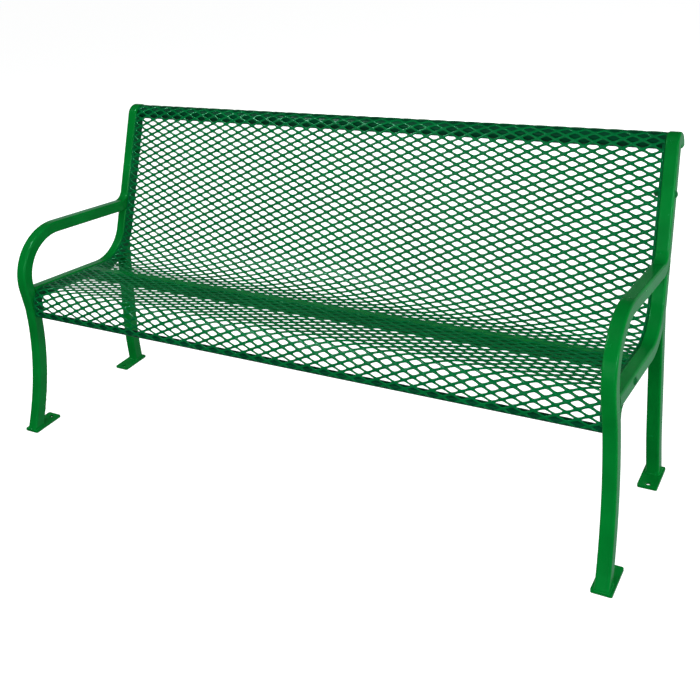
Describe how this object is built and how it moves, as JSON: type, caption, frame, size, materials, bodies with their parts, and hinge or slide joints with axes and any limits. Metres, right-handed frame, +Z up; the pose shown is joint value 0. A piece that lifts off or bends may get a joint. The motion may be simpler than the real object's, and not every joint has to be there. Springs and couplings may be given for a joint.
{
  "type": "park bench",
  "caption": "Park bench with back and armrests: bent square-tube end frames on anchor plates carry a formed expanded-metal seat and back.",
  "frame": {"origin": "on the floor, at the middle of the bench's overall length and depth", "axes": "+X along the bench, +Y towards the back, +Z up"},
  "size_m": [1.8446, 0.7444, 0.8695],
  "materials": {
    "frame_coat": "glossy green thermoplastic or powder coating on steel tube and bar",
    "mesh_coat": "the same glossy green coating, dipped thick over expanded steel mesh",
    "fastener": "coated steel bolts, washers and nuts in a darker green"
  },
  "bodies": {
    "root": {"carriage_bolts": "fastener", "front_foot_left": "frame_coat", "front_foot_right": "frame_coat", "front_tube_left": "frame_coat", "front_tube_right": "frame_coat", "hex_nuts": "fastener", "mesh_panel": "mesh_coat", "post_cap_left": "frame_coat", "post_cap_right": "frame_coat", "rear_foot_left": "frame_coat", "rear_foot_right": "frame_coat", "rear_leg_left": "frame_coat", "rear_leg_right": "frame_coat", "rim_rod": "frame_coat", "seat_bar_left": "frame_coat", "seat_bar_right": "frame_coat", "seat_tube": "frame_coat", "side_bar_left": "frame_coat", "side_bar_right": "frame_coat", "top_rail": "frame_coat", "washers": "fastener"}
  },
  "joints": []
}
